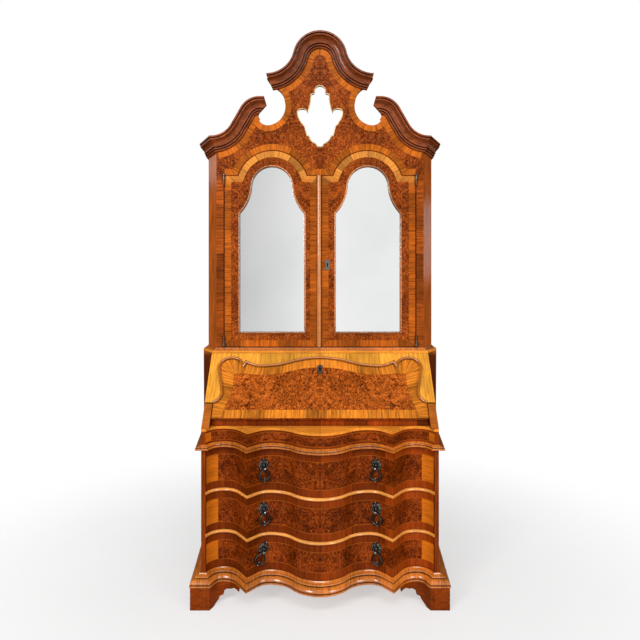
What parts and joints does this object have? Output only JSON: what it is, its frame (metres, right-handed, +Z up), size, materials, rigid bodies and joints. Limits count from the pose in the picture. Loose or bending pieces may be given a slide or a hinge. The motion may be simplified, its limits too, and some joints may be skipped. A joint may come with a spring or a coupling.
{
  "type": "bureau cabinet",
  "caption": "Walnut bureau cabinet: serpentine chest of drawers, sloping writing fall, arched mirror doors and a pierced scroll pediment.",
  "frame": {"origin": "on the floor under the middle of the cabinet's plan", "axes": "+X to the right seen from the front, +Y to the back, +Z up"},
  "size_m": [1.12, 0.61, 2.413],
  "materials": {
    "walnut": "polished crossbanded veneer",
    "burr_walnut": "polished burr veneer",
    "moulding_walnut": "polished solid",
    "secondary_wood": "plain planed",
    "pewter": "dark cast metal",
    "mirror_glass": "silvered",
    "brass": "aged"
  },
  "bodies": {
    "carcase": {"lower_side_left": "walnut", "lower_side_right": "walnut", "base_moulding": "moulding_walnut", "waist_moulding": "moulding_walnut", "dust_boards": "secondary_wood", "frieze": "burr_walnut", "frieze_sides": "walnut", "ledge_board": "walnut", "back_boards": "secondary_wood", "feet": "walnut", "hinge_rail": "walnut", "writing_bed": "secondary_wood", "pigeonholes": "secondary_wood", "desk_side_left": "walnut", "desk_side_right": "walnut", "desk_top": "walnut", "fall_pivots": "brass", "upper_side_left": "walnut", "upper_side_right": "walnut", "upper_back": "secondary_wood", "upper_bottom": "secondary_wood", "upper_top": "secondary_wood", "shelves": "secondary_wood", "cabinet_moulding": "moulding_walnut", "pilasters": "walnut", "door_pivots": "brass", "pediment_board": "burr_walnut", "cornice_centre": "moulding_walnut", "cornice_left": "moulding_walnut", "cornice_right": "moulding_walnut"},
    "fall": {"fall_board": "burr_walnut", "fall_frame": "walnut", "fall_lock": "brass", "fall_escutcheon": "pewter"},
    "left_door": {"door_left_frame": "burr_walnut", "door_left_mirror": "mirror_glass", "door_left_back": "secondary_wood", "door_left_hinges": "brass", "door_astragal": "walnut"},
    "right_door": {"door_right_frame": "burr_walnut", "door_right_mirror": "mirror_glass", "door_right_back": "secondary_wood", "door_right_hinges": "brass", "door_lock": "brass", "door_escutcheon": "pewter"},
    "drawer_1": {"drawer_1_front": "burr_walnut", "drawer_1_box": "secondary_wood", "drawer_1_rosettes": "pewter"},
    "drawer_2": {"drawer_2_front": "burr_walnut", "drawer_2_box": "secondary_wood", "drawer_2_rosettes": "pewter"},
    "drawer_3": {"drawer_3_front": "burr_walnut", "drawer_3_box": "secondary_wood", "drawer_3_rosettes": "pewter"},
    "ring_1_left": {"ring_1_left": "pewter"},
    "ring_1_right": {"ring_1_right": "pewter"},
    "ring_2_left": {"ring_2_left": "pewter"},
    "ring_2_right": {"ring_2_right": "pewter"},
    "ring_3_left": {"ring_3_left": "pewter"},
    "ring_3_right": {"ring_3_right": "pewter"}
  },
  "joints": [
    {"name": "fall_hinge", "type": "hinge", "parent": "carcase", "child": "fall", "pos_m": [0, -0.1527, 0.74454], "axis": [1, 0, 0], "range_deg": [0, 130]},
    {"name": "left_door_hinge", "type": "hinge", "parent": "carcase", "child": "left_door", "pos_m": [-0.429, 0.045, 1.4], "axis": [0, 0, -1], "range_deg": [0, 100]},
    {"name": "right_door_hinge", "type": "hinge", "parent": "carcase", "child": "right_door", "pos_m": [0.429, 0.045, 1.4], "axis": [0, 0, 1], "range_deg": [0, 100]},
    {"name": "drawer_1_slide", "type": "slide", "parent": "carcase", "child": "drawer_1", "axis": [0, -1, 0], "range_m": [0, 0.32]},
    {"name": "drawer_2_slide", "type": "slide", "parent": "carcase", "child": "drawer_2", "axis": [0, -1, 0], "range_m": [0, 0.32]},
    {"name": "drawer_3_slide", "type": "slide", "parent": "carcase", "child": "drawer_3", "axis": [0, -1, 0], "range_m": [0, 0.32]},
    {"name": "ring_1_left_swing", "type": "hinge", "parent": "drawer_1", "child": "ring_1_left", "pos_m": [-0.22323, -0.19431, 0.5475], "axis": [-0.8922, -0.4516, 0], "range_deg": [0, 80]},
    {"name": "ring_1_right_swing", "type": "hinge", "parent": "drawer_1", "child": "ring_1_right", "pos_m": [0.22323, -0.19431, 0.5475], "axis": [-0.8922, 0.4516, 0], "range_deg": [0, 80]},
    {"name": "ring_2_left_swing", "type": "hinge", "parent": "drawer_2", "child": "ring_2_left", "pos_m": [-0.22323, -0.19431, 0.371], "axis": [-0.8922, -0.4516, 0], "range_deg": [0, 80]},
    {"name": "ring_2_right_swing", "type": "hinge", "parent": "drawer_2", "child": "ring_2_right", "pos_m": [0.22434, -0.19487, 0.37107], "axis": [-0.8873, 0.4492, -0.1045], "range_deg": [0, 80]},
    {"name": "ring_3_left_swing", "type": "hinge", "parent": "drawer_3", "child": "ring_3_left", "pos_m": [-0.22825, -0.19685, 0.2109], "axis": [-0.7878, -0.3988, 0.4695], "range_deg": [0, 80]},
    {"name": "ring_3_right_swing", "type": "hinge", "parent": "drawer_3", "child": "ring_3_right", "pos_m": [0.22472, -0.19506, 0.20962], "axis": [-0.8835, 0.4473, -0.1392], "range_deg": [0, 80]}
  ]
}
